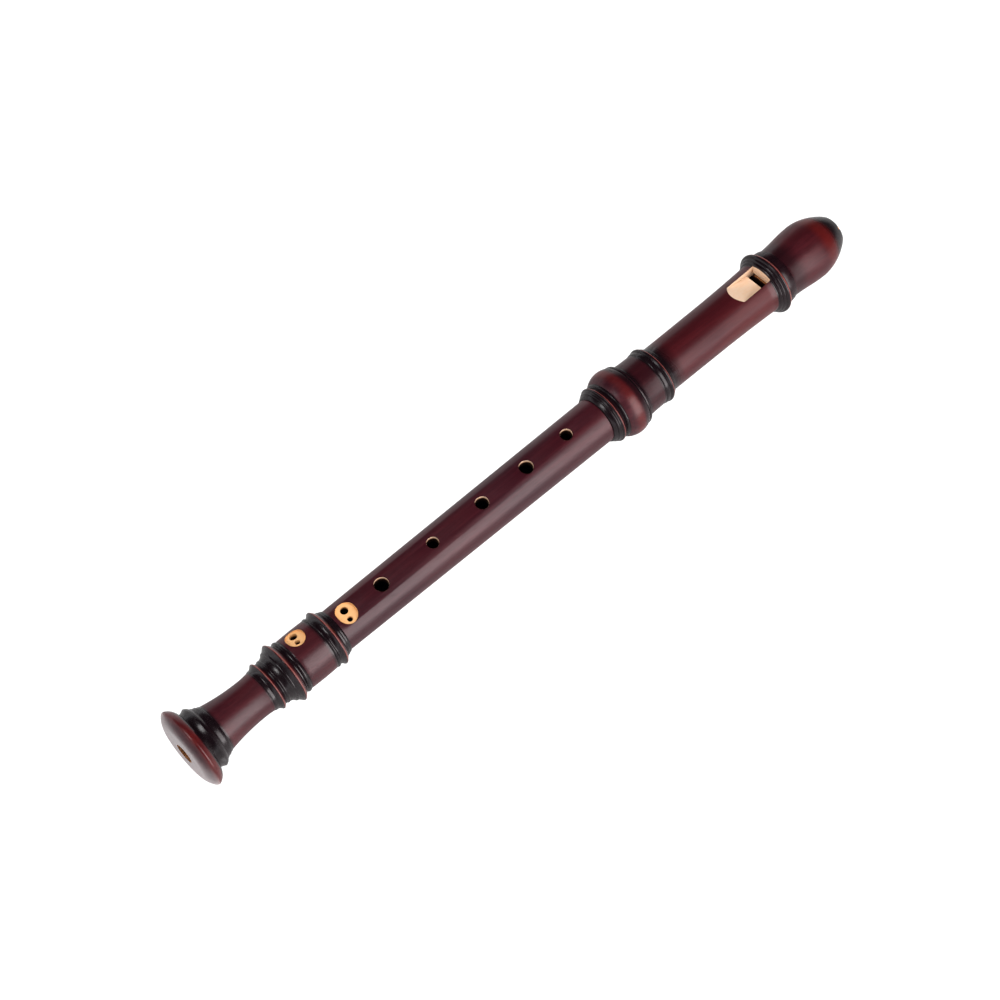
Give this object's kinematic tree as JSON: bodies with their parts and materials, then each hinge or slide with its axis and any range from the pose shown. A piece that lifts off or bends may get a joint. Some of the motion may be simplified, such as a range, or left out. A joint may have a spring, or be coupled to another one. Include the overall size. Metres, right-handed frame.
{
  "type": "soprano recorder",
  "caption": "Turned wooden duct flute in separate head, middle and foot joints, with a beaked mouthpiece, a block and cork-lapped tenons.",
  "frame": {"origin": "on the bore axis, in the foot's flat end face", "axes": "+X along the bore from the foot's end to the beak's tip, +Z out through the middle joint's finger holes, +Y completes the frame"},
  "size_m": [0.3266, 0.0316, 0.0316],
  "materials": {
    "stained_wood": "dark red-brown stain under a satin varnish, bare pale wood at the window, the finger holes and the pockets",
    "cork": "thin sheet cork, waxed",
    "cedar": "unvarnished cedar"
  },
  "bodies": {
    "middle": {"middle_joint": "stained_wood"},
    "upper_cork": {"upper_tenon_cork": "cork"},
    "head": {"head_joint": "stained_wood"},
    "block": {"block": "cedar"},
    "lower_cork": {"lower_tenon_cork": "cork"},
    "foot": {"foot_joint": "stained_wood"}
  },
  "joints": [
    {"name": "head_twist", "type": "hinge", "parent": "middle", "child": "upper_cork", "pos_m": [0.197, 0, 0], "axis": [1, 0, 0], "continuous": true},
    {"name": "head_pull", "type": "slide", "parent": "upper_cork", "child": "head", "axis": [1, 0, 0], "range_m": [0, 0.03]},
    {"name": "block_push", "type": "slide", "parent": "head", "child": "block", "axis": [1, 0, 0], "range_m": [0, 0.045]},
    {"name": "foot_twist", "type": "hinge", "parent": "middle", "child": "lower_cork", "pos_m": [0.0683, 0, 0], "axis": [1, 0, 0], "continuous": true},
    {"name": "foot_pull", "type": "slide", "parent": "lower_cork", "child": "foot", "axis": [-1, 0, 0], "range_m": [0, 0.02]}
  ]
}
